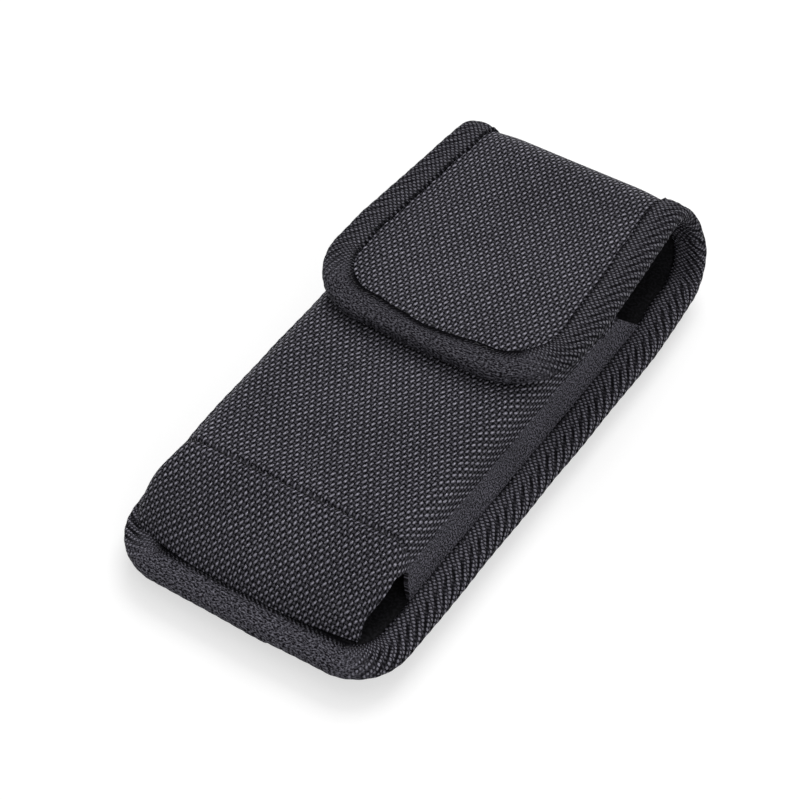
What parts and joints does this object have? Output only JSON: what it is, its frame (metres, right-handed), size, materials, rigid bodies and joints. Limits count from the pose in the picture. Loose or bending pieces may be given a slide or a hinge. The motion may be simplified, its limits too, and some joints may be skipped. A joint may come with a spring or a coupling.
{
  "type": "phone belt holster",
  "caption": "Padded woven-nylon phone holster with a tape-bound edge, a fold-over flap, side gussets and a webbing belt loop.",
  "frame": {"origin": "bottom centre of the bounding box, under the belt loop that the case lies on", "axes": "+X across the width, +Y along the length to the folded top, +Z out of the front, up as the case lies"},
  "size_m": [0.098, 0.186, 0.0357],
  "materials": {
    "ballistic_nylon": "woven, satin",
    "binding_tape": "woven tape, matte",
    "foam": "matte",
    "lining_fabric": "smooth, matte",
    "stretch_fabric": "fine weave, matte",
    "webbing": "woven, matte",
    "hook_tape": "matte",
    "loop_tape": "napped, matte"
  },
  "bodies": {
    "root": {"back_shell": "ballistic_nylon", "back_foam": "foam", "back_lining": "lining_fabric", "back_binding": "binding_tape", "front_shell": "ballistic_nylon", "front_foam": "foam", "front_lining": "lining_fabric", "mouth_binding": "binding_tape", "gusset_left": "stretch_fabric", "gusset_right": "stretch_fabric", "loop_patch": "loop_tape", "belt_loop": "webbing"},
    "top_fold": {"fold_shell": "ballistic_nylon", "fold_foam": "foam", "fold_lining": "lining_fabric", "fold_binding_left": "binding_tape", "fold_binding_right": "binding_tape"},
    "flap": {"flap_shell": "ballistic_nylon", "flap_foam": "foam", "flap_lining": "lining_fabric", "flap_binding": "binding_tape", "hook_patch": "hook_tape"}
  },
  "joints": [
    {"name": "top_fold_bend", "type": "hinge", "parent": "root", "child": "top_fold", "pos_m": [0, 0.08919, 0.00951], "axis": [-1, 0, 0], "range_deg": [0, 90]},
    {"name": "flap_bend", "type": "hinge", "parent": "top_fold", "child": "flap", "pos_m": [0, 0.08919, 0.03189], "axis": [-1, 0, 0], "range_deg": [0, 90]}
  ],
  "couplings": [
    {"joint": "flap_bend", "follows": "top_fold_bend", "ratio": 1}
  ]
}
